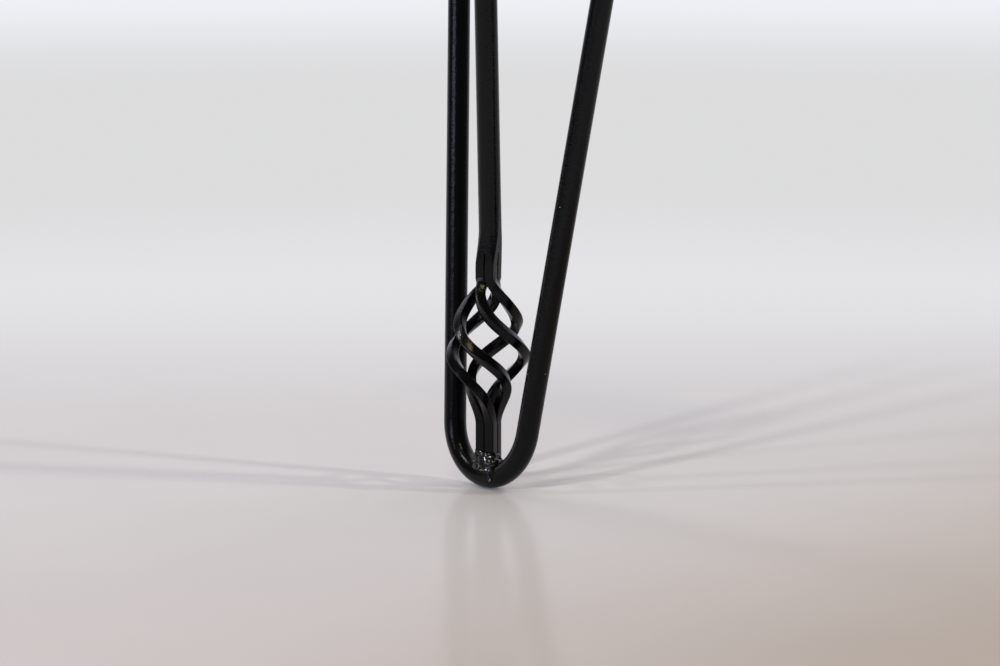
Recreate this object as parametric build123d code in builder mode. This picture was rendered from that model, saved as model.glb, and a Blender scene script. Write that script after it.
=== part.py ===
from build123d import *
import os
from math import asin, atan2, cos, degrees, hypot, pi, radians, sin, sqrt, tan

# Hairpin table leg with a basket twist.
#
# One round rod is bent into a hairpin, a long V whose bend is the foot. A centre rod comes down
# between the two limbs. Its lower end is forged square and split into four square strands, which
# are twisted open into a basket, gathered again and welded into the bend. All three rod ends are
# welded to a flat plate, which is screwed under a table top.
#
# Frame: millimetres, +Z up. The origin is the middle of the plate's top face, which meets the
# table. +X runs from the left limb of the hairpin to the right one, and the centre rod stands
# on the -Y side of the hairpin.

# Driving dimensions of the whole leg
leg_height = 400.0
rod_diameter = 12.0

# Plate, which goes a little past the weld beads, and its four screw holes
plate_margin = 3.4
plate_thickness = 5.0
plate_corner_radius = 8.0
plate_edge_chamfer = 0.6
screw_hole_diameter = 5.5
screw_from_limb = 24.6
screw_from_edge = 12.0

# Hairpin, measured on the centre line of the rod: the ends at the plate, and the foot
bend_radius = 30.2
hairpin_spread = 149.2
hairpin_y = 24.0
foot_y = -21.0

# Centre rod and its forged shoulder, round above and square below
centre_rod_y = -24.6
shoulder_length = 33.0
neck_height = 14.0
neck_set = 1.4
shoulder_flat = 0.5
forged_flat_depth = 0.75
slit_length = 7.0
slit_width = 0.7
slit_depth = 1.0

# Basket of four twisted square strands, with heights along its upright axis
strand_gap = 0.2
strand_chamfer = 0.8
lower_tail = 23.6
basket_height = 83.5
belly_height = 39.0
belly_radius = 19.8
upper_tail = 1.0
twist_angle = 270.0
twist_ease = 0.2
bundle_turn = 23.2
basket_set = 0.65
strand_seat_depth = 0.5
section_turn = 16.0

# Weld beads
plate_weld_leg = 4.0
plate_weld_toe = 0.5
foot_weld_width = 20.0
foot_weld_rise = 9.0
foot_weld_wrap = 4.0
foot_weld_side = 1.6
foot_weld_corner = 4.0

# Extra length that is cut off again, so that a rod ends flush
trim_allowance = 15.0

# Derived sizes of the plate
rod_radius = rod_diameter / 2
plate_weld_radius = rod_radius + plate_weld_leg
plate_width = hairpin_spread + 2 * (plate_weld_radius + plate_margin)
plate_depth = 2 * (max(hairpin_y, -centre_rod_y) + plate_weld_radius + plate_margin)
screw_spacing_x = hairpin_spread - 2 * screw_from_limb
screw_spacing_y = plate_depth - 2 * screw_from_edge

# Derived heights
plate_underside = -plate_thickness
bend_z = -leg_height + rod_radius
seat_z = bend_z + rod_radius

# Derived sizes of the hairpin's leaning plane
hairpin_rise = plate_underside - bend_z
hairpin_run = hairpin_y - foot_y
hairpin_lean = atan2(hairpin_run, hairpin_rise)
hairpin_length = hypot(hairpin_rise, hairpin_run)
half_spread = hairpin_spread / 2
centre_to_top = hairpin_length - bend_radius
tangent_share = bend_radius / hypot(half_spread, centre_to_top)
half_angle = atan2(half_spread, centre_to_top) - asin(tangent_share)

# Derived sizes of the basket, with heights above its seat in the bend
basket_y = foot_y + rod_radius * tan(hairpin_lean) + basket_set
basket_z = seat_z - strand_seat_depth
basket_top = lower_tail + basket_height
bundle_top = basket_top + upper_tail
bundle_size = rod_diameter - 2 * forged_flat_depth
strand_size = (bundle_size - strand_gap) / 2
bundle_radius = (strand_size + strand_gap) / sqrt(2)
neck_flat_span = bundle_size + (rod_diameter - bundle_size) * neck_height / shoulder_length

underside_plane = Plane.XY.offset(plate_underside)
hairpin_plane = Plane(
    origin=(0, foot_y, bend_z),
    x_dir=(1, 0, 0),
    z_dir=(0, -cos(hairpin_lean), sin(hairpin_lean)),
)
basket_plane = Plane(
    origin=(0, basket_y, basket_z),
    x_dir=(cos(radians(bundle_turn)), sin(radians(bundle_turn)), 0),
    z_dir=(0, 0, 1),
)
bundle_top_plane = basket_plane.offset(bundle_top)

# Plate: a flat blank with rounded corners and four plain screw holes
with BuildPart() as mounting_plate:
    with BuildSketch(underside_plane):
        RectangleRounded(plate_width, plate_depth, plate_corner_radius)
        with GridLocations(screw_spacing_x, screw_spacing_y, 2, 2):
            Circle(screw_hole_diameter / 2, mode=Mode.SUBTRACT)
    extrude(amount=plate_thickness)
    plate_rims = mounting_plate.faces().filter_by(Axis.Z)
    chamfer([face.outer_wire().edges() for face in plate_rims], plate_edge_chamfer)

# Hairpin: one rod swept down the left limb, round the bend and up the right limb
tangent_x = bend_radius * cos(half_angle)
tangent_y = bend_radius * (1 - sin(half_angle))
limb_top_x = half_spread + trim_allowance * sin(half_angle)
limb_top_y = hairpin_length + trim_allowance * cos(half_angle)

with BuildPart() as hairpin_rod:
    with BuildLine(hairpin_plane) as hairpin_path:
        Line((-limb_top_x, limb_top_y), (-tangent_x, tangent_y))
        ThreePointArc((-tangent_x, tangent_y), (0, 0), (tangent_x, tangent_y))
        Line((tangent_x, tangent_y), (limb_top_x, limb_top_y))
    hairpin_wire = hairpin_path.wires()[0]
    with BuildSketch(Plane(origin=hairpin_wire @ 0, x_dir=hairpin_plane.z_dir, z_dir=hairpin_wire % 0)):
        Circle(rod_radius)
    sweep(path=hairpin_wire)
    split(bisect_by=underside_plane, keep=Keep.BOTTOM)


def belly_reach(height):
    """Distance of a strand's centre line from the basket's axis: a smooth rise to the belly and back."""
    if height > lower_tail + belly_height:
        share = (basket_top - height) / (basket_height - belly_height)
    else:
        share = (height - lower_tail) / belly_height
    return bundle_radius + (belly_radius - bundle_radius) * share**2 * (3 - 2 * share)


def strand_point(height):
    """Point of a strand's centre line: the twist runs evenly, but starts and ends more gently."""
    share = (basket_top - height) / basket_height
    turned = twist_angle * (share - twist_ease * sin(2 * pi * share) / (2 * pi))
    angle = radians(first_strand_angle + turned)
    reach = belly_reach(height)
    return Vector(reach * cos(angle), reach * sin(angle), height)


# One strand on its own: square to its centre line all the way, with one corner turned outwards
first_strand_angle = 45.0
section_count = round(twist_angle / section_turn) + 1
section_shares = [index / (section_count - 1) for index in range(section_count)]
with BuildLine() as strand_path:
    Spline(
        [strand_point(basket_top - share * basket_height) for share in section_shares],
        tangents=((0, 0, -1), (0, 0, -1)),
    )
strand_line = strand_path.edges()[0]

with BuildPart() as strand:
    for share in section_shares:
        centre = strand_line @ share
        outward = Vector(centre.X, centre.Y, 0)
        with BuildSketch(Plane(origin=centre, x_dir=outward, z_dir=strand_line % share)) as strand_section:
            Rectangle(strand_size, strand_size, rotation=45)
            chamfer(strand_section.vertices(), strand_chamfer)
    loft()
    extrude(strand.faces().sort_by(Axis.Z)[-1], amount=upper_tail)
    extrude(strand.faces().sort_by(Axis.Z)[0], amount=lower_tail)

def seat_strand(quarter_turns):
    """The strand turned into its corner of the bundle, with its foot cut to sit on the bend."""
    strand_place = basket_plane.rotated((0, 0, 90 * quarter_turns)).location
    with BuildPart() as seated:
        add(strand_place * strand.part)
        add(hairpin_rod.part, mode=Mode.SUBTRACT)
    return seated


seated_strands = [seat_strand(quarter_turns) for quarter_turns in range(4)]

# Centre rod: round from the plate to the shoulder, forged square, then split into the four strands
centre_top = Vector(0, centre_rod_y, plate_underside)
neck = Vector(0, basket_y + neck_set, basket_z + bundle_top + neck_height)
centre_axis = centre_top - neck
neck_plane = Plane(origin=neck, x_dir=basket_plane.x_dir, z_dir=centre_axis)
shoulder_plane = neck_plane.offset(shoulder_length - neck_height)
flat_angle = degrees(2 * asin(shoulder_flat / rod_diameter))

with BuildPart() as centre_rod:
    with BuildSketch(shoulder_plane):
        Circle(rod_radius)
    extrude(amount=centre_axis.length)
    split(bisect_by=underside_plane, keep=Keep.BOTTOM)
    # The round end has a short arc above each flat and a long one above each corner
    with BuildSketch(shoulder_plane):
        with BuildLine():
            for side in range(4):
                flat_start = 90 * side - flat_angle / 2
                CenterArc((0, 0), rod_radius, flat_start, flat_angle)
                CenterArc((0, 0), rod_radius, flat_start + flat_angle, 90 - flat_angle)
        make_face()
    # At the neck the four hammered flats have grown, and round corners are left between them
    with BuildSketch(neck_plane):
        Circle(rod_radius)
        Rectangle(neck_flat_span, neck_flat_span, mode=Mode.INTERSECT)
    with BuildSketch(bundle_top_plane):
        RectangleRounded(bundle_size, bundle_size, strand_chamfer)
    loft(ruled=True)
    # The splits between the strands run on a little way up the middle of each flat
    with BuildSketch(bundle_top_plane):
        Rectangle(2 * rod_diameter, slit_width)
        Rectangle(slit_width, 2 * rod_diameter)
        core_size = bundle_size - 2 * slit_depth
        Rectangle(core_size, core_size, mode=Mode.SUBTRACT)
    extrude(amount=slit_length, mode=Mode.SUBTRACT)
    for seated_strand in seated_strands:
        add(seated_strand.part)

# Foot weld: a mound that wraps the top of the bend and closes round the foot of the strands
foot_weld_top_size = bundle_size + 2 * foot_weld_side
foot_weld_depth = rod_diameter + 2 * foot_weld_side
with BuildPart() as foot_weld:
    with BuildSketch(Plane.XY.offset(seat_z - foot_weld_wrap)):
        with Locations((0, foot_y)):
            RectangleRounded(foot_weld_width, foot_weld_depth, foot_weld_corner)
    with BuildSketch(basket_plane.offset(foot_weld_rise)):
        RectangleRounded(foot_weld_top_size, foot_weld_top_size, foot_weld_corner)
    loft()
    add(hairpin_rod.part, mode=Mode.SUBTRACT)
    with BuildSketch(basket_plane):
        Rectangle(bundle_size, bundle_size)
    extrude(amount=lower_tail, mode=Mode.SUBTRACT)


def make_plate_weld(top, up_the_rod):
    """Fillet bead round a rod where it meets the plate: a cone on the rod's axis, cut off at the plate."""
    toe_radius = rod_radius + plate_weld_toe
    bead_growth = plate_weld_leg - plate_weld_toe
    with BuildPart() as bead:
        with Locations(Plane(origin=top, z_dir=up_the_rod)):
            Cone(toe_radius, toe_radius + 2 * bead_growth, 2 * plate_weld_leg)
            Cylinder(rod_radius, 2 * plate_weld_leg, mode=Mode.SUBTRACT)
        split(bisect_by=underside_plane, keep=Keep.BOTTOM)
    return bead


left_weld = make_plate_weld(Vector(-half_spread, hairpin_y, plate_underside), (hairpin_wire % 0) * -1)
right_weld = make_plate_weld(Vector(half_spread, hairpin_y, plate_underside), hairpin_wire % 1)
centre_weld = make_plate_weld(centre_top, centre_axis.normalized())

# The four beads are separate lumps of the same weld metal
with BuildPart() as weld_beads:
    for weld in (foot_weld, left_weld, right_weld, centre_weld):
        add(weld.part)

pieces = {
    "mounting_plate": mounting_plate,
    "hairpin_rod": hairpin_rod,
    "centre_rod": centre_rod,
    "weld_beads": weld_beads,
}
os.makedirs("parts", exist_ok=True)
for name, piece in pieces.items():
    piece.part.label = name
    export_step(piece.part, f"parts/{name}.step")
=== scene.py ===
# %% [markdown]
# # A hairpin leg with a basket twist
# The leg is steel rod: a long V bent from one rod, and a third rod whose lower end is forged square,
# split into four strands and twisted open into a basket. All of it is coated in satin black.
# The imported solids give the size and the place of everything. They are loaded first and never moved,
# and the smooth pieces made below stand where they are.

import math

import bmesh
import bpy
from mathutils import Matrix, Vector, noise


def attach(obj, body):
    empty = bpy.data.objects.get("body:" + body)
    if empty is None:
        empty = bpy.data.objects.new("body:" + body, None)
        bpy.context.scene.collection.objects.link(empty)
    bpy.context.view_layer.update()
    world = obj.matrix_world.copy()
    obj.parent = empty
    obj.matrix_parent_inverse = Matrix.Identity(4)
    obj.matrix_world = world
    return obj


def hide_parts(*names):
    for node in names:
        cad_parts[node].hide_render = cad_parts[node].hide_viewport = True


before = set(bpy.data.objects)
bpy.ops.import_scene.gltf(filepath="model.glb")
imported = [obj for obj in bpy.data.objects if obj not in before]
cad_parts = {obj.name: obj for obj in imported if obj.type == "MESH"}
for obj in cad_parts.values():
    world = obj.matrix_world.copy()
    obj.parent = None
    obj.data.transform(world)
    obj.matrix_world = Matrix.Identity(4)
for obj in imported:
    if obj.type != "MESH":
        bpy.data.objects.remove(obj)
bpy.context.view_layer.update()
mm = 0.001
print("frame nodes:", sorted(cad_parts))

# %% [markdown]
# ## Sums on shader sockets
# A coat of paint is described by sums: this much grain, plus a little of that ripple. Wiring each
# sum by hand takes many lines, so one small class holds a socket and lets Python's own signs add the
# nodes. Everything that isn't a sum, such as a noise texture, comes from its one method `node`, and
# `into` plugs the result into a shader.


# %% A socket that can be added and multiplied
class Signal:
    """One output socket of a node tree, which takes part in sums."""

    def __init__(self, tree, socket=None):
        self.tree = tree
        self.socket = socket

    def node(self, kind, settings, sockets, output=0):
        made = self.tree.nodes.new(kind)
        for setting, value in settings.items():
            setattr(made, setting, value)
        for socket, value in sockets.items():
            if isinstance(value, Signal):
                value.into(made, socket)
            else:
                made.inputs[socket].default_value = value
        return Signal(self.tree, made.outputs[output])

    def into(self, shader, socket):
        self.tree.links.new(self.socket, shader.inputs[socket])

    def sum_of(self, operation, first, second):
        return self.node("ShaderNodeMath", {"operation": operation}, {0: first, 1: second})

    def __add__(self, other):
        return self.sum_of("ADD", self, other)

    def __radd__(self, other):
        return self.sum_of("ADD", other, self)

    def __sub__(self, other):
        return self.sum_of("SUBTRACT", self, other)

    def __rsub__(self, other):
        return self.sum_of("SUBTRACT", other, self)

    def __mul__(self, other):
        return self.sum_of("MULTIPLY", self, other)

    def __rmul__(self, other):
        return self.sum_of("MULTIPLY", other, self)


print("shader sums ready")

# %% [markdown]
# ## Satin black powder coat
# Powder coat is sprayed on as dust and baked, so it melts into a skin with a fine orange-peel grain.
# A plain black would look like plastic. Here two noises, one of about 3 mm for the peel and one of
# about 1 mm for the grain, tilt the surface with a bump, and the grain also changes its gloss.
# A third and wider noise clouds the black, and a few specks of pale dust lie on it, as on any black
# thing that stands in a room. All of them read Object coordinates, so no piece needs a UV map.


# %% Helpers for any finish
def start_finish(name):
    finish = bpy.data.materials.new(name)
    finish.use_nodes = True
    skin = finish.node_tree.nodes["Principled BSDF"]
    place = Signal(finish.node_tree).node("ShaderNodeTexCoord", {}, {}, output="Object")
    return finish, skin, place


def mix_colours(share, first, second, blend="MIX"):
    return share.node(
        "ShaderNodeMix",
        {"data_type": "RGBA", "blend_type": blend},
        {0: share, 6: first, 7: second},
        output=2,
    )


def step_up(value, low, high):
    return value.node(
        "ShaderNodeMapRange",
        {"interpolation_type": "SMOOTHSTEP"},
        {"Value": value, "From Min": low, "From Max": high},
    )


def spots(place, scale, detail):
    return place.node(
        "ShaderNodeTexNoise", {}, {"Vector": place, "Scale": scale, "Detail": detail}
    )


def bumps(height, strength, distance):
    return height.node(
        "ShaderNodeBump", {}, {"Strength": strength, "Distance": distance, "Height": height}
    )


print("finish helpers ready")

# %% The coat of rods, strands and plate
deep_black = (0.0011, 0.0011, 0.0014, 1)
thin_black = (0.0024, 0.0024, 0.0029, 1)
pale_dust = (0.34, 0.33, 0.31, 1)


def dust_specks(place):
    cells = {"Vector": place, "Scale": 150.0}
    near = place.node("ShaderNodeTexVoronoi", {}, cells, output="Distance")
    colour = place.node("ShaderNodeTexVoronoi", {}, cells, output="Color")
    chance = place.node("ShaderNodeSeparateColor", {}, {"Color": colour})
    return (1 - step_up(near, low=0.025, high=0.05)) * step_up(chance, low=0.86, high=0.87)


def satin_coat():
    coat, skin, place = start_finish("satin_black_coat")
    grain = spots(place, scale=1000.0, detail=2.0)
    peel = spots(place, scale=380.0, detail=1.0)
    cloud = spots(place, scale=40.0, detail=2.0)
    dust = dust_specks(place)
    colour = mix_colours(dust, mix_colours(cloud, deep_black, thin_black), pale_dust)
    colour.into(skin, "Base Color")
    gloss = 0.08 + 0.14 * grain + 0.06 * cloud + 0.3 * dust
    gloss.into(skin, "Roughness")
    height = 0.55 * grain + 0.45 * peel
    bumps(height, strength=0.8, distance=0.2 * mm).into(skin, "Normal")
    skin.inputs["Specular IOR Level"].default_value = 0.18
    return coat


coat = satin_coat()
print("coat has", len(coat.node_tree.nodes), "nodes")

# %% [markdown]
# ## Coat on the welds
# The same powder lies over the weld metal, but a weld is a frozen splash: beads, drips and small
# spatter. The powder runs thin on the tops and thick in the hollows, so the tops shine more. On the
# smallest points it has come off, and bare metal shows: silver on the lumps, heat-browned in between.
# One noise picks those points and feeds Metallic, so that they glint as metal and not as pale paint.

# %% The glossier coat of the weld metal
hollow_shade_black = (0.001, 0.001, 0.0012, 1)
lump_black = (0.0032, 0.003, 0.003, 1)
browned_metal = (0.4, 0.27, 0.1, 1)
silver_metal = (0.74, 0.74, 0.75, 1)


def weld_coat():
    coat, skin, place = start_finish("weld_black_coat")
    lumps = spots(place, scale=330.0, detail=1.0)
    pits = spots(place, scale=1400.0, detail=1.0)
    bare = step_up(spots(place, scale=640.0, detail=1.0), low=0.64, high=0.69)
    bare.into(skin, "Metallic")
    # The black is painted darker in the hollows of the bump and lighter on its tops, as painted shade.
    black = mix_colours(lumps, hollow_shade_black, lump_black)
    metal = mix_colours(step_up(lumps, low=0.42, high=0.58), browned_metal, silver_metal)
    mix_colours(bare, black, metal).into(skin, "Base Color")
    gloss = 0.15 - 0.07 * step_up(lumps, low=0.4, high=0.65) + 0.06 * pits
    gloss.into(skin, "Roughness")
    height = 0.9 * lumps + 0.1 * pits
    bumps(height, strength=0.5, distance=0.5 * mm).into(skin, "Normal")
    skin.inputs["Specular IOR Level"].default_value = 0.3
    return coat


bead_coat = weld_coat()
print("weld coat has", len(bead_coat.node_tree.nodes), "nodes")

# %% [markdown]
# ## From a bmesh to a finished piece
# Each piece is modelled in a bmesh. When it is done, doubled points are merged, its faces are turned
# outwards and shaded smooth, and only edges sharper than 50 degrees stay crisp. The piece then rides
# on the leg's one body, takes its material slot, and hides the solid that it stands for.

# %% Finish a piece
merge_distance = 0.004 * mm
crisp_angle = math.radians(50)


def finish_piece(name, bm, material, *stands_for):
    bmesh.ops.remove_doubles(bm, verts=bm.verts, dist=merge_distance)
    bmesh.ops.recalc_face_normals(bm, faces=bm.faces)
    for face in bm.faces:
        face.smooth = True
    mesh = bpy.data.meshes.new(name)
    bm.to_mesh(mesh)
    bm.free()
    mesh.set_sharp_from_angle(angle=crisp_angle)
    mesh.materials.append(material)
    piece = bpy.data.objects.new(name, mesh)
    bpy.context.scene.collection.objects.link(piece)
    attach(piece, "root")
    if stands_for:
        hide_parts(*stands_for)
    print(name, "has", len(mesh.polygons), "faces")


print("points merge within", merge_distance / mm, "mm")

# %% [markdown]
# ## The hairpin rod
# The big V is one 12 mm rod, heated and bent round a former. It could be a curve with a bevel, but a
# bend is exactly what spin makes: a ring of points is spun round the middle of the bend, and the two
# open ends are then pulled straight up. The V leans back, so it is drawn upright in its own plane,
# tilted, and cut level where it meets the plate.

# %% Where the hairpin lies
rod_radius = 6 * mm
leg_height = 400 * mm
plate_thickness = 5 * mm
bend_radius = 30.2 * mm
half_spread = 74.6 * mm
hairpin_top_y = 24 * mm
foot_y = -21 * mm
bend_z = rod_radius - leg_height

hairpin_run = hairpin_top_y - foot_y
hairpin_rise = -plate_thickness - bend_z
hairpin_lean = math.atan2(hairpin_run, hairpin_rise)
above_bend = math.hypot(hairpin_run, hairpin_rise) - bend_radius
tangent_angle = math.asin(bend_radius / math.hypot(half_spread, above_bend))
limb_angle = math.atan2(half_spread, above_bend) - tangent_angle
hairpin_place = Matrix.Translation((0, foot_y, bend_z)) @ Matrix.Rotation(-hairpin_lean, 4, "X")
print("limbs open by", round(math.degrees(2 * limb_angle), 1), "degrees")


# %% Bend the hairpin
def pick(parts, kind):
    return [part for part in parts if isinstance(part, kind)]


def pull_ring(bm, ring, direction, length):
    grown = bmesh.ops.extrude_edge_only(bm, edges=ring)["geom"]
    bmesh.ops.translate(bm, verts=pick(grown, bmesh.types.BMVert), vec=direction * length)


def bend_hairpin():
    bm = bmesh.new()
    points = bmesh.ops.create_circle(bm, segments=56, radius=rod_radius)["verts"]
    start = Vector((-math.cos(limb_angle), 0, 1 - math.sin(limb_angle))) * bend_radius
    ring_place = Matrix.Translation(start) @ Matrix.Rotation(-limb_angle, 4, "Y")
    bmesh.ops.transform(bm, matrix=ring_place, verts=points)
    first_ring = list(bm.edges)
    spun = bmesh.ops.spin(
        bm,
        geom=points + first_ring,
        cent=(0, 0, bend_radius),
        axis=(0, -1, 0),
        angle=math.pi - 2 * limb_angle,
        steps=72,
        use_duplicate=False,
    )
    last_ring = pick(spun["geom_last"], bmesh.types.BMEdge)
    up_left = Vector((-math.sin(limb_angle), 0, math.cos(limb_angle)))
    up_right = Vector((math.sin(limb_angle), 0, math.cos(limb_angle)))
    pull_ring(bm, first_ring, up_left, leg_height)
    pull_ring(bm, last_ring, up_right, leg_height)
    bmesh.ops.transform(bm, matrix=hairpin_place, verts=bm.verts)
    bmesh.ops.bisect_plane(
        bm,
        geom=list(bm.verts) + list(bm.edges) + list(bm.faces),
        plane_co=(0, 0, -plate_thickness),
        plane_no=(0, 0, 1),
        clear_outer=True,
    )
    bmesh.ops.holes_fill(bm, edges=[edge for edge in bm.edges if edge.is_boundary])
    return bm


finish_piece("bent_hairpin_rod", bend_hairpin(), coat, "hairpin_rod")

# %% [markdown]
# ## The twist
# The third rod's end is split, and the split end is twisted while its strands swell into a basket.
# The shoulder above and the strands below have to turn together, or their edges would not meet, so
# one function gives the turn at each height for both. The twist is slow at its two ends. Near the top
# the strands stay closed for longer and then part quickly: there, heights are pushed up before use.

# %% How far the twist has turned at each height
bundle_size = 10.5 * mm
bundle_turn = math.radians(23.2)
bundle_top = 108.1 * mm
basket_y = -19.656 * mm
basket_z = -388.5 * mm
lower_tail = 23.6 * mm
basket_height = 83.5 * mm
basket_top = lower_tail + basket_height
twist_angle = math.radians(270)
twist_ease = 0.2
late_from = 88 * mm
late_span = 13 * mm
late_by = 6 * mm


def clamp(share):
    return min(max(share, 0), 1)


def pushed_up(height):
    return height + late_by * max((height - late_from) / late_span, 0) ** 2


def twist_turn(height):
    share = clamp((basket_top - pushed_up(height)) / basket_height)
    return twist_angle * (share - twist_ease * math.sin(math.tau * share) / math.tau)


half_way = lower_tail + basket_height / 2
print("half way down, turned by", round(math.degrees(twist_turn(half_way))), "degrees")

# %% [markdown]
# ## The centre rod and its forged shoulder
# The third rod runs down between the limbs. Its end is hammered square before it is split, so four
# long flats grow out of the round, and in the middle of each flat the split ends in a narrow slit.
# One slit gapes more than the others. A loft would do, but here one ring of points is extruded down
# the rod, and at each stop its points are drawn in to whichever is nearer: the flat, or a limit that
# goes from the round to the corner. A soft minimum rounds the edges between them as hammer work does.

# %% The section of the shoulder
neck_height = 14 * mm
shoulder_height = 33 * mm
closed_length = 9.2 * mm
corner_reach = 0.966 * bundle_size / math.sqrt(2)
corner_end = 18.9 * mm
corner_length = 18 * mm
corner_fade = 1.4
edge_blend = 0.16 * mm
skin_step = 0.05 * mm
slit_height = 7 * mm
slit_depth = 1.1 * mm
slit_fade = 1 * mm
slit_start = 3.5
slit_halves = (21, 4, 4, 4)


def ease(share):
    share = clamp(share)
    return share * share * (3 - 2 * share)


def soft_least(first, second, blend):
    gap = max(blend - abs(first - second), 0) / blend
    return min(first, second) - gap * gap * blend / 4


def hammered_reach(from_flat, up):
    """The skin stands proud of the strands at the top and sinks below them at the lower end."""
    proud = (2 * ease(1 + up / closed_length) - 1) * skin_step
    flat = bundle_size / 2 + (rod_radius - bundle_size / 2) * max(up, 0) / shoulder_height
    squareness = clamp((corner_end - up) / corner_length) ** corner_fade
    limit = rod_radius + (corner_reach - rod_radius) * squareness
    return soft_least(limit + proud, (flat + proud) / math.cos(from_flat), edge_blend)


def slit_cut(quarter, from_flat, up):
    opened = clamp((slit_height - up) / (slit_height + closed_length))
    half = math.radians(slit_start + (slit_halves[quarter] - slit_start) * opened)
    inside = max(1 - abs(from_flat) / half, 0)
    return slit_depth * inside * (1 - ease((up - slit_height + slit_fade) / slit_fade))


def shoulder_reach(angle, up):
    quarter = round(angle / (math.pi / 2)) % 4
    from_flat = (angle + math.pi / 4) % (math.pi / 2) - math.pi / 4
    return hammered_reach(from_flat, up) - slit_cut(quarter, from_flat, up)


print("corner reaches", round(shoulder_reach(math.pi / 4, 0) / mm, 2), "mm")

# %% Forge the centre rod
neck_set = 1.4 * mm
bow_from = -3 * mm
bow_length = 22 * mm
centre_top = Vector((0, -24.6 * mm, -plate_thickness))
neck = Vector((0, basket_y + neck_set, basket_z + bundle_top + neck_height))
rod_stops = [200 * mm, 160 * mm, 120 * mm, 80 * mm]
fine_top = shoulder_height + 7 * mm
fine_step = 0.5 * mm
fine_count = 99
fine_stops = [fine_top - fine_step * step for step in range(fine_count)]


def shoulder_middle(up):
    along = neck + (centre_top - neck) * ((up - neck_height) / (centre_top.z - neck.z))
    share = ease((up - bow_from) / bow_length)
    return Vector((0, basket_y + (along.y - basket_y) * share, basket_z + bundle_top + up))


def forge_centre_rod():
    bm = bmesh.new()
    bmesh.ops.create_circle(bm, segments=144, radius=rod_radius)
    bmesh.ops.rotate(bm, verts=bm.verts, matrix=Matrix.Rotation(bundle_turn, 3, "Z"))
    bmesh.ops.translate(bm, verts=bm.verts, vec=centre_top)
    ring = list(bm.edges)
    middle, turn = centre_top, 0
    for up in rod_stops + fine_stops:
        grown = bmesh.ops.extrude_edge_only(bm, edges=ring)["geom"]
        ring = pick(grown, bmesh.types.BMEdge)
        above, middle = middle, shoulder_middle(up)
        before, turn = turn, twist_turn(bundle_top + up)
        for point in pick(grown, bmesh.types.BMVert):
            angle = math.atan2(point.co.y - above.y, point.co.x - above.x) + turn - before
            distance = shoulder_reach(angle - bundle_turn - turn, up)
            point.co = middle + Vector((math.cos(angle), math.sin(angle), 0)) * distance
    bmesh.ops.holes_fill(bm, edges=[edge for edge in bm.edges if edge.is_boundary])
    return bm


finish_piece("forged_centre_rod", forge_centre_rod(), coat, "centre_rod")
print("shoulder is", round(shoulder_height / mm), "mm long")

# %% [markdown]
# ## The four strands of the basket
# Below the shoulder the square end is split in four. Untwisted against its lay, it springs open into
# a basket and closes again above the foot. Each strand is a square bar with one corner outwards and
# edges rounded by the fire. A curve with a bevel would let the square roll, so the section is one
# face instead, extruded from stop to stop and each time carried into the strand's next position.

# %% Where a strand runs
strand_size = 5.15 * mm
belly_height = 39 * mm
belly_radius = 19.4 * mm
swell_power = 1.5
gathered_radius = (bundle_size - strand_size) / math.sqrt(2)
belly = lower_tail + belly_height
parting = pushed_up(bundle_top - closed_length)
look_ahead = 0.2 * mm


def strand_swell(height):
    if height < belly:
        return ease((height - lower_tail) / belly_height)
    share = clamp((parting - pushed_up(height)) / (parting - belly))
    return math.sin(share * math.pi / 2) ** swell_power


def strand_point(height, quarter):
    distance = gathered_radius + (belly_radius - gathered_radius) * strand_swell(height)
    angle = bundle_turn + math.pi / 4 + quarter * math.pi / 2 + twist_turn(height)
    out = Vector((math.cos(angle), math.sin(angle), 0))
    return Vector((0, basket_y, basket_z + height)) + out * distance, out


def strand_place(height, quarter):
    middle, out = strand_point(height, quarter)
    higher = strand_point(height + look_ahead, quarter)[0]
    lower = strand_point(height - look_ahead, quarter)[0]
    along = (higher - lower).normalized()
    out = (out - along * out.dot(along)).normalized()
    turn = Matrix((out, along.cross(out), along)).transposed().to_4x4()
    return Matrix.Translation(middle) @ turn


print("basket is", round(2 * belly_radius / mm, 1), "mm wide between strand centres")

# %% Twist the basket open
strand_round = 0.62 * mm
strand_steps = 150


def draw_strand(quarter):
    bm = bmesh.new()
    bmesh.ops.create_circle(bm, cap_ends=True, segments=4, radius=strand_size / math.sqrt(2))
    bmesh.ops.bevel(
        bm,
        geom=bm.verts,
        offset=strand_round,
        segments=5,
        profile=0.5,
        affect="VERTICES",
        material=-1,
    )
    face = list(bm.faces)[0]
    points = list(bm.verts)
    before = Matrix.Identity(4)
    for step in range(strand_steps + 1):
        place = strand_place(bundle_top * step / strand_steps, quarter)
        if step:
            grown = bmesh.ops.extrude_face_region(bm, geom=[face])["geom"]
            points = pick(grown, bmesh.types.BMVert)
            face = pick(grown, bmesh.types.BMFace)[0]
        bmesh.ops.transform(bm, matrix=place @ before.inverted(), verts=points)
        before = place
    return bm


for quarter in range(4):
    bm = draw_strand(quarter)
    print("open edges:", sum(not edge.is_manifold for edge in bm.edges))
    finish_piece("basket_strand_" + str(quarter + 1), bm, coat)

# %% [markdown]
# ## The weld at the foot
# The gathered strands stand on the inside of the bend, and a hand weld holds them there: overlapping
# lumps all round, with a run of metal down the front. Lumps are round, so small spheres are set where
# the weld was laid: four rows that climb the strands, each a loop on the skin of the bend, and one
# row for the run. A voxel remesh melts them into one skin, and a noise roughens that skin.

# %% Where the lumps lie
weld_turns = 28
row_depth = 0.6 * mm
run_depth = 0.4 * mm
right_slump = 0.2
back_slump = 0.25
wander_scale = 2.6
wander_start = 0.4
wander_lift = 1.4
wander_size = 0.8
# Each row: how far along the bend in mm, how far rolled over it in degrees, height and size in mm.
weld_rows = [
    (9.6, 46, -0.4, 1.8),
    (8.2, 44, 2.2, 2.1),
    (7.0, 50, 4.6, 1.9),
    (6.4, 54, 7.0, 1.5),
]
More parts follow.
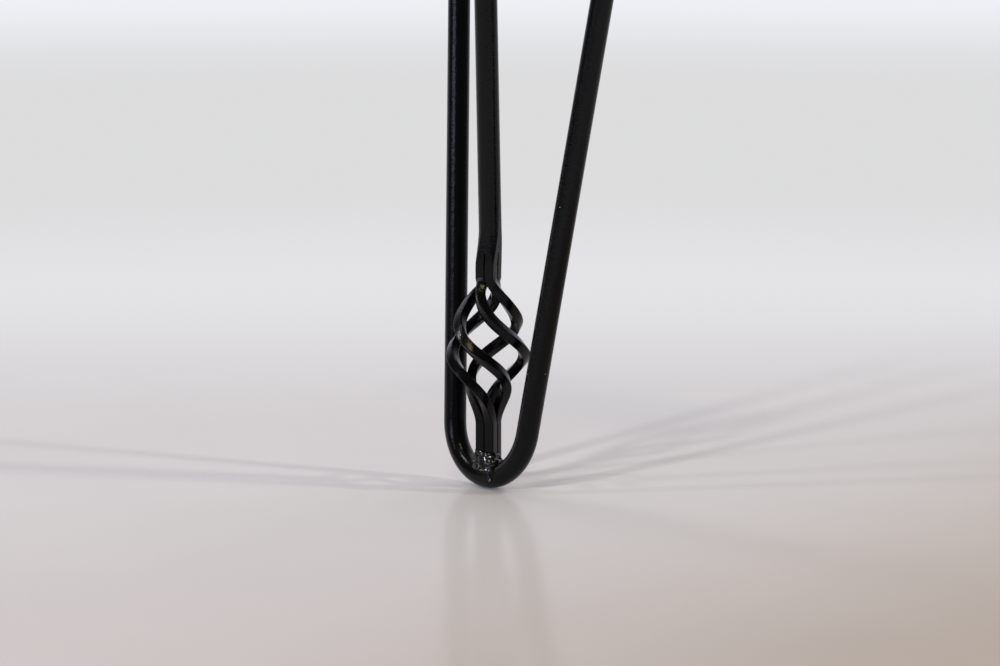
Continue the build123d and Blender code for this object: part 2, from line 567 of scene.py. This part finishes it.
# Each lump of the run: along the bend in mm, rolled to the front in degrees, size in mm.
weld_run = [
    (8.8, 20, 2.6),
    (9.2, 45, 2.5),
    (9.6, 68, 2.1),
    (9.7, 88, 1.7),
    (9.6, 104, 1.4),
    (9.4, 117, 1.0),
]


def on_bend(across, roll, depth):
    """A point under the bend's skin: how far across, and how far rolled to the front in degrees."""
    rise = bend_radius - math.sqrt(bend_radius**2 - across**2)
    out = rod_radius - depth
    front = -out * math.sin(math.radians(roll))
    return hairpin_place @ Vector((across, front, rise + out * math.cos(math.radians(roll))))


def foot_lumps():
    lumps = [(on_bend(across * mm, roll, run_depth), size * mm) for across, roll, size in weld_run]
    for step in range(weld_turns):
        angle = step / weld_turns * math.tau
        along, aside = math.cos(angle), math.sin(angle)
        wander = noise.noise(Vector((wander_scale * along, wander_scale * aside, wander_start)))
        for spread, roll, height, size in weld_rows:
            skin = on_bend(spread * along * mm, -roll * aside, row_depth)
            piled = height * (1 - right_slump * along - back_slump * aside)
            lift = Vector((0, 0, (piled + wander_lift * wander) * mm))
            lumps.append((skin + lift, (size + wander_size * wander) * mm))
    return lumps


print("foot weld has", len(foot_lumps()), "lumps")

# %% Melt the lumps together
melt_voxel = 0.36 * mm
melt_sweeps = 7
lump_width, lump_rise = 3.0 * mm, 0.8 * mm
grit_width, grit_rise = 1.5 * mm, 0.16 * mm


def melt_together(bm):
    rough = bpy.data.meshes.new("rough_weld")
    bm.to_mesh(rough)
    bm.clear()
    holder = bpy.data.objects.new("rough_weld", rough)
    bpy.context.scene.collection.objects.link(holder)
    remesh = holder.modifiers.new("melt", "REMESH")
    remesh.mode = "VOXEL"
    remesh.voxel_size = melt_voxel
    seen = holder.evaluated_get(bpy.context.evaluated_depsgraph_get())
    melted = bpy.data.meshes.new_from_object(seen)
    bm.from_mesh(melted)
    bpy.data.objects.remove(holder)
    bpy.data.meshes.remove(rough)
    bpy.data.meshes.remove(melted)


def lay_foot_weld():
    bm = bmesh.new()
    for middle, size in foot_lumps():
        place = Matrix.Translation(middle)
        bmesh.ops.create_icosphere(bm, subdivisions=3, radius=size, matrix=place)
    melt_together(bm)
    for sweep in range(melt_sweeps):
        bmesh.ops.smooth_vert(
            bm, verts=bm.verts, factor=0.5, use_axis_x=True, use_axis_y=True, use_axis_z=True
        )
    bm.normal_update()
    for point in bm.verts:
        rise = noise.noise(point.co / lump_width) * lump_rise
        rise += noise.noise(point.co / grit_width) * grit_rise
        point.co += point.normal * rise
    return bm


finish_piece("lumpy_foot_weld", lay_foot_weld(), bead_coat, "weld_beads")

# %% [markdown]
# ## The beads under the plate
# At the top each rod is welded to the plate all the way round. A hand-laid bead shows one small
# ripple for every dip of the welding rod. A torus would be too even, so a ring is spun from a round
# section, and its points are pushed in and out along the ring to make the ripples. The ring sinks a
# little into the rod and the plate.

# %% Lay a rippled bead round each rod
bead_size = 3.2 * mm
bead_middle = Vector((rod_radius + 0.4 * mm, 0, -0.2 * mm))
bead_ripples = 22
ripple_depth = 0.28 * mm
ripple_slant = 0.4 / mm
bead_lump_width, bead_lump_rise = 4 * mm, 0.3 * mm
rod_tops = {
    "left": Vector((-half_spread, hairpin_top_y, -plate_thickness)),
    "right": Vector((half_spread, hairpin_top_y, -plate_thickness)),
    "centre": centre_top,
}


def lay_plate_bead(top):
    bm = bmesh.new()
    bmesh.ops.create_circle(bm, segments=20, radius=bead_size)
    bmesh.ops.rotate(bm, verts=bm.verts, matrix=Matrix.Rotation(math.pi / 2, 3, "X"))
    bmesh.ops.translate(bm, verts=bm.verts, vec=bead_middle)
    bmesh.ops.spin(
        bm,
        geom=list(bm.verts) + list(bm.edges),
        axis=(0, 0, 1),
        angle=math.tau,
        steps=176,
        use_merge=True,
    )
    bm.normal_update()
    for point in bm.verts:
        angle = math.atan2(point.co.y, point.co.x)
        dip = abs(math.sin(angle * bead_ripples / 2 + ripple_slant * point.co.z))
        lump = noise.noise((point.co + top) / bead_lump_width)
        push = bead_lump_rise * lump - ripple_depth * (1 - dip) ** 2
        point.co += point.co.normalized() * push
    bmesh.ops.translate(bm, verts=bm.verts, vec=top)
    return bm


for side, top in rod_tops.items():
    finish_piece(side + "_plate_bead", lay_plate_bead(top), bead_coat)

# %% [markdown]
# ## The plate
# The plate is a flat piece with four screw holes and a broken edge. Its solid already has that shape,
# so it stays, and only gets the coat.

# %% Coat the plate
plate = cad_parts["mounting_plate"]
plate.material_slots[0].material = coat
print("plate coated with", plate.material_slots[0].material.name)

# %% [markdown]
# ## The floor
# The leg stands on a pale, slightly glossy board. A darker, warmer painted shade lies on one
# side of it, and a painted shade darkens its front.
# A background should be pale without more light on the leg, so from a short way behind the leg the
# board is mixed with a pale glow that only the camera and mirrored rays see. Close to the foot it is
# an ordinary board, and keeps the leg's shadows and its faint mirror image.

# %% The finish of the board
view_turn = math.radians(50)
front = Vector((math.sin(view_turn), -math.cos(view_turn), 0))
warm_shade_side = (0.93, 0.33, 0)
cool_boards = (0.61, 0.6, 0.6, 1), (0.685, 0.675, 0.675, 1)
warm_shade_boards = (0.47, 0.425, 0.365, 1), (0.535, 0.485, 0.42, 1)
front_shade = (0.865, 0.825, 0.81, 1)
close_glow = (0.775, 0.77, 0.795, 1)
middle_glow = (0.72, 0.72, 0.728, 1)
far_glow = (0.86, 0.875, 0.92, 1)


def distance_along(place, direction):
    settings = {"operation": "DOT_PRODUCT"}
    return place.node("ShaderNodeVectorMath", settings, {0: place, 1: direction}, output="Value")


def distance_on_floor(place):
    flat = place.node("ShaderNodeVectorMath", {"operation": "MULTIPLY"}, {0: place, 1: (1, 1, 0)})
    return flat.node("ShaderNodeVectorMath", {"operation": "LENGTH"}, {0: flat}, output="Value")


def board_glow(place, near):
    far = distance_on_floor(place)
    behind = mix_colours(step_up(far, low=0.8, high=1.4), close_glow, middle_glow)
    colour = mix_colours(step_up(far, low=2.4, high=4.0), behind, far_glow)
    glow = place.node("ShaderNodeEmission", {}, {"Color": colour, "Strength": 1.0})
    camera_ray = place.node("ShaderNodeLightPath", {}, {}, output="Is Camera Ray")
    glossy_ray = place.node("ShaderNodeLightPath", {}, {}, output="Is Glossy Ray")
    all_round = step_up(far, low=0.42, high=0.95)
    behind_leg = step_up(near, low=-0.05, high=-0.8)
    beyond = place.sum_of("MAXIMUM", all_round, behind_leg)
    return glow, place.sum_of("MAXIMUM", camera_ray, glossy_ray) * beyond


def pale_board():
    board, skin, place = start_finish("pale_board")
    speck = spots(place, scale=900.0, detail=2.0)
    tone = 0.6 * spots(place, scale=9.0, detail=3.0) + 0.4 * speck
    cool = mix_colours(tone, *cool_boards)
    warm = mix_colours(tone, *warm_shade_boards)
    side = distance_along(place, warm_shade_side)
    near = distance_along(place, front)
    # Toward one side the board is painted darker and warmer, as painted warm shade.
    colour = mix_colours(step_up(side, low=0.05, high=0.45), cool, warm)
    # The front of the board is painted darker, as painted shade.
    shade = step_up(near, low=-0.1, high=0.5)
    mix_colours(shade, colour, front_shade, blend="MULTIPLY").into(skin, "Base Color")
    gloss = 0.12 + 0.1 * speck
    gloss.into(skin, "Roughness")
    skin.inputs["Specular IOR Level"].default_value = 0.012
    glow, seen = board_glow(place, near)
    lit = Signal(place.tree, skin.outputs[0])
    mixed = place.node("ShaderNodeMixShader", {}, {0: seen, 1: lit, 2: glow})
    mixed.into(place.tree.nodes["Material Output"], "Surface")
    return board


board = pale_board()
print("board has", len(board.node_tree.nodes), "nodes")

# %% Lay the floor
floor_z = -leg_height
floor_radius = 14


def lay_floor():
    bm = bmesh.new()
    bmesh.ops.create_circle(bm, cap_ends=True, segments=96, radius=floor_radius)
    bmesh.ops.translate(bm, verts=bm.verts, vec=(0, 0, floor_z))
    mesh = bpy.data.meshes.new("floor")
    bm.to_mesh(mesh)
    bm.free()
    mesh.materials.append(board)
    floor = bpy.data.objects.new("floor", mesh)
    bpy.context.scene.collection.objects.link(floor)


lay_floor()
print("floor at", floor_z)

# %% [markdown]
# ## The room
# A satin black thing shows little of its own colour: what the eye sees on it is the room, mirrored.
# One even grey world would wash the rods out, so the half of the room behind the leg is pale and the
# half in front is dark. The rods then have thin pale rims and a deep black middle.

# %% The world
away = -front
dark_half = 0.12
pale_half = 0.78
world = bpy.data.worlds.new("studio")
bpy.context.scene.world = world
world.use_nodes = True
background = world.node_tree.nodes["Background"]
background.inputs["Color"].default_value = (0.9, 0.88, 1.0, 1)
heading = Signal(world.node_tree).node("ShaderNodeTexCoord", {}, {}, output="Generated")
depth = distance_along(heading, away)
strength = dark_half + pale_half * step_up(depth, low=0.1, high=0.7)
strength.into(background, "Strength")
print("room goes from", dark_half, "to", dark_half + pale_half)

# %% [markdown]
# ## The lamps
# A wide soft lamp and a small one behind the leg give plain light. The key lamp and the right lamp
# draw the bands of shadow on the floor, and are kept out of reflections, where they would leave hot
# spots. The left lamp is long and low and draws the blue line down the rods. The golden lamp and the
# white ones make the small glints on the strands and in the bend, and the second white one lights
# nothing but gloss, so that the glint is strong and the floor has no extra shadow.

# %% Hang the lamps
right = Vector((math.cos(view_turn), math.sin(view_turn), 0))
straight_up = Vector((0, 0, 1))
lamp_aim = Vector((0, foot_y, floor_z + 100 * mm))
near_ring, far_ring = 2.0, 2.4
white = (1.0, 1.0, 1.0)
soft_white = (1.0, 0.99, 0.98)
warm_white = (1.0, 0.98, 0.95)
cold_white = (0.95, 0.97, 1.0)
day_white = (0.96, 0.98, 1.0)
pale_blue = (0.72, 0.84, 1.0)
gold = (1.0, 0.8, 0.5)
amber = (1.0, 0.87, 0.68)


def hang_lamp(name, bearing, rise, distance, size, watts, colour, mirrored=True, spread=True):
    """A rectangular lamp: its bearing, to the right of the camera, and its rise are in degrees."""
    lamp = bpy.data.lights.new(name, "AREA")
    lamp.shape = "RECTANGLE"
    lamp.size, lamp.size_y = size
    lamp.energy = watts
    lamp.color = colour
    bearing, rise = math.radians(bearing), math.radians(rise)
    level = right * math.sin(bearing) + front * math.cos(bearing)
    toward = level * math.cos(rise) + straight_up * math.sin(rise)
    holder = bpy.data.objects.new(name, lamp)
    holder.location = lamp_aim + toward * distance
    holder.rotation_mode = "QUATERNION"
    holder.rotation_quaternion = (-toward).to_track_quat("-Z", "Y")
    holder.visible_camera = False
    holder.visible_glossy = mirrored
    holder.visible_diffuse = spread
    bpy.context.scene.collection.objects.link(holder)
    print(name, "gives", watts, "W")


hang_lamp("soft_overhead_lamp", 180, 56, near_ring, size=(1.6, 1.6), watts=7, colour=soft_white)
hang_lamp("golden_lamp", -8, 61, near_ring, size=(0.25, 0.1), watts=4.5, colour=gold)
hang_lamp("white_lamp", -74, 51, near_ring, size=(0.12, 0.12), watts=4, colour=white)
hang_lamp(
    "white_glint_lamp", -74, 51, near_ring, (0.12, 0.12), watts=8, colour=cold_white, spread=False
)
hang_lamp("key_lamp", -36, 21, far_ring, (0.16, 0.16), watts=26, colour=day_white, mirrored=False)
hang_lamp("left_lamp", -52, 15.5, far_ring, size=(1.4, 0.2), watts=7, colour=pale_blue)
hang_lamp("right_lamp", 76, 48, far_ring, (0.12, 0.12), watts=12, colour=amber, mirrored=False)
hang_lamp("back_lamp", -142, 34, far_ring, size=(0.35, 0.35), watts=7, colour=warm_white)

# %% [markdown]
# ## The camera
# The camera stands low and looks slightly down. Its focal length is known in pixels of a picture
# 1000 pixels wide, and so is the pixel where the middle of the bend has to appear. From the bend the
# camera is backed off along its line of sight and shifted until the bend falls on that pixel.

# %% Set up the camera
image_width, image_height = 1000, 666
sensor_width = 36
view_pitch = math.radians(8.5)
focal_pixels = 4130.7
foot_distance = 2200 * mm
foot_pixel = (486.55, 476.08)
forward = away * math.cos(view_pitch) - straight_up * math.sin(view_pitch)
upward = away * math.sin(view_pitch) + straight_up * math.cos(view_pitch)
across = (foot_pixel[0] - image_width / 2) / focal_pixels * foot_distance
above = (image_height / 2 - foot_pixel[1]) / focal_pixels * foot_distance
foot = Vector((0, foot_y, bend_z))
stand = foot - right * across - forward * foot_distance - upward * above

lens = bpy.data.cameras.new("camera")
lens.sensor_width = sensor_width
lens.lens = sensor_width * focal_pixels / image_width
lens.clip_end = 100
camera = bpy.data.objects.new("camera", lens)
turn = Matrix((right, upward, -forward)).transposed().to_4x4()
camera.matrix_world = Matrix.Translation(stand) @ turn
bpy.context.scene.collection.objects.link(camera)
bpy.context.scene.camera = camera
bpy.context.scene.view_settings.view_transform = "Standard"
print("lens", round(lens.lens, 1), "mm")
